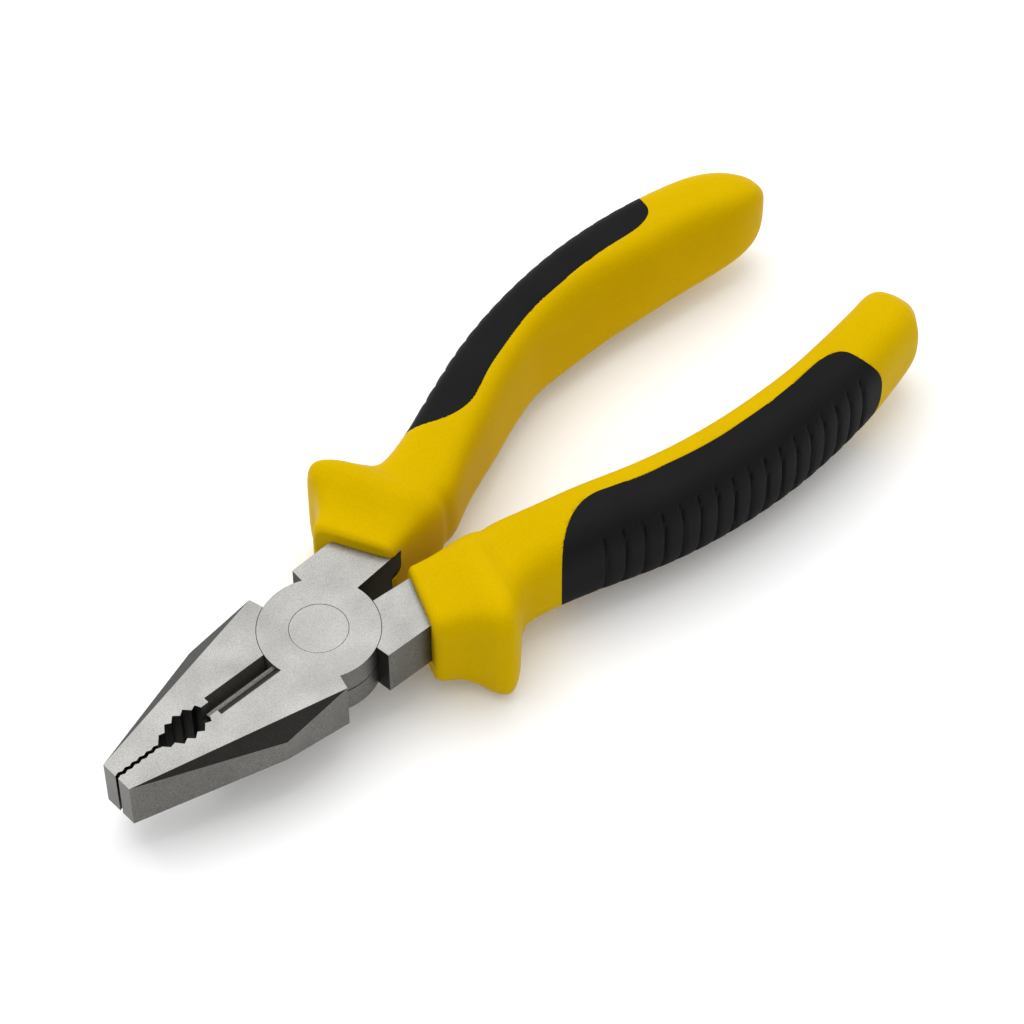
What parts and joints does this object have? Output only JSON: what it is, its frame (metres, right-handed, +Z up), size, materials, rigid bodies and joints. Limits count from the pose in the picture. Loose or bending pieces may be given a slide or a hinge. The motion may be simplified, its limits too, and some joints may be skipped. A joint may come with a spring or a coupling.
{
  "type": "combination pliers",
  "caption": "Combination pliers with serrated jaws, a pipe grip, a side cutter and two-colour moulded grips on a riveted lap joint.",
  "frame": {"origin": "under the middle of the outline box, on the plane the tool stands on; the pivot's axis is at x = 44.05 mm, y = 0", "axes": "+X from the grips to the jaw tips, +Z up along the pivot's axis, +Y towards the near jaw and the near grip"},
  "size_m": [0.181, 0.0658, 0.0249],
  "materials": {
    "forged_steel": "satin, finely ground faces and darker milled facets",
    "rivet_steel": "satin, ground flush",
    "hard_yellow_plastic": "satin moulded",
    "soft_black_rubber": "matt with ribs"
  },
  "bodies": {
    "far_handle_half": {"half_near_jaw": "forged_steel", "rivet": "rivet_steel", "grip_sleeve_far": "hard_yellow_plastic", "grip_insert_far": "soft_black_rubber"},
    "near_handle_half": {"half_far_jaw": "forged_steel", "grip_sleeve_near": "hard_yellow_plastic", "grip_insert_near": "soft_black_rubber"}
  },
  "joints": [
    {"name": "pivot", "type": "hinge", "parent": "far_handle_half", "child": "near_handle_half", "pos_m": [0.04405, 0, 0.01346], "axis": [0, 0, -1], "range_deg": [0, 38]}
  ]
}
